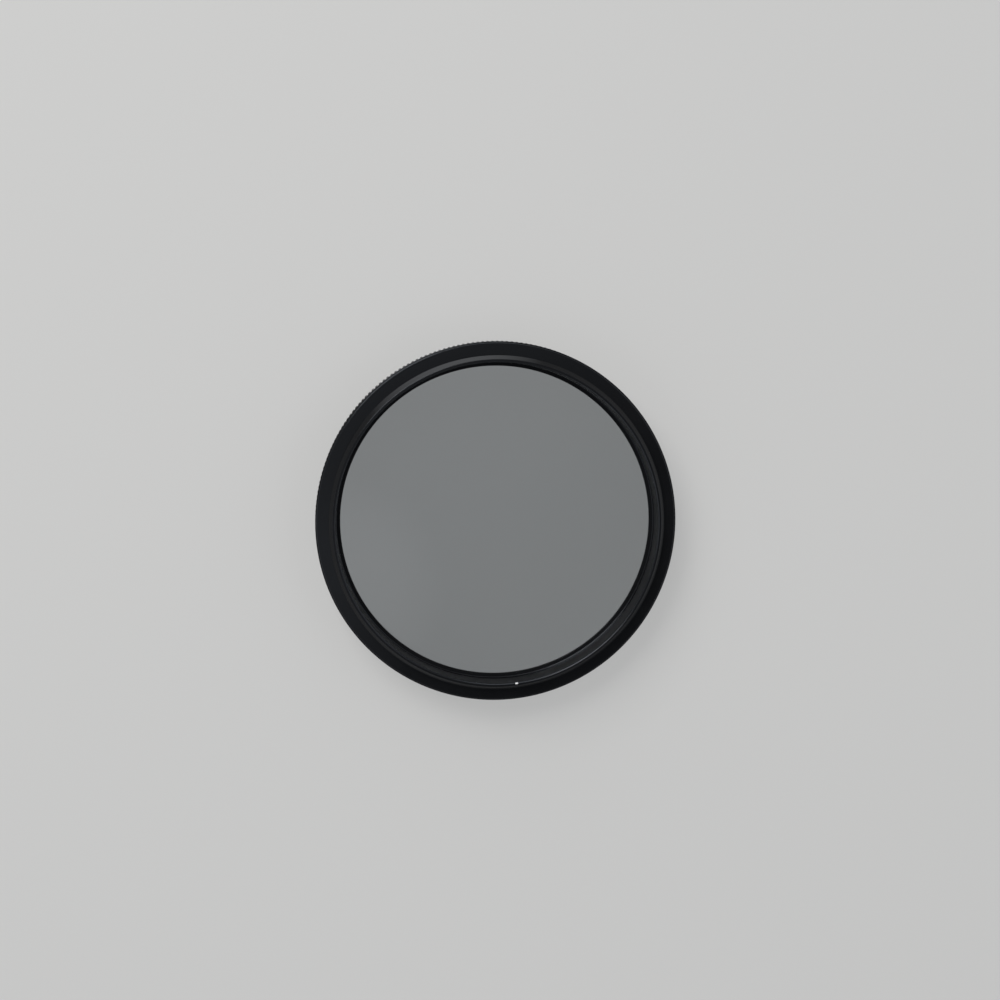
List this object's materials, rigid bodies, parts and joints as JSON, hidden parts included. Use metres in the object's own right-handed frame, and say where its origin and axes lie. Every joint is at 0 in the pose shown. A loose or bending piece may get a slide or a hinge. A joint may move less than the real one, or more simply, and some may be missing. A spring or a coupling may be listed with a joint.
{
  "type": "screw-in polarising lens filter",
  "caption": "Black screw-in polarising filter: a threaded mount ring carries a knurled ring that turns without limit and holds a round grey glass in front of a camera lens.",
  "frame": {"origin": "centre of the front rim's face, on the filter's axis, where the filter lies on a surface", "axes": "+Z along the filter's axis, out of the lens thread; X and Y across the ring"},
  "size_m": [0.0594, 0.0594, 0.0102],
  "materials": {
    "black_anodised": "satin black anodised, turned",
    "spring_wire": "bright drawn wire",
    "filter_glass": "polished, neutral grey",
    "polarizing_film": "clear neutral grey film"
  },
  "bodies": {
    "mount": {"mount_ring": "black_anodised"},
    "rotor": {"rotating_ring": "black_anodised", "snap_ring": "spring_wire", "retaining_ring": "black_anodised", "rear_glass": "filter_glass", "polarizing_film": "polarizing_film", "front_glass": "filter_glass"}
  },
  "joints": [
    {"name": "ring_turn", "type": "hinge", "parent": "mount", "child": "rotor", "pos_m": [0, 0, 0.0059], "axis": [0, 0, 1], "continuous": true}
  ]
}
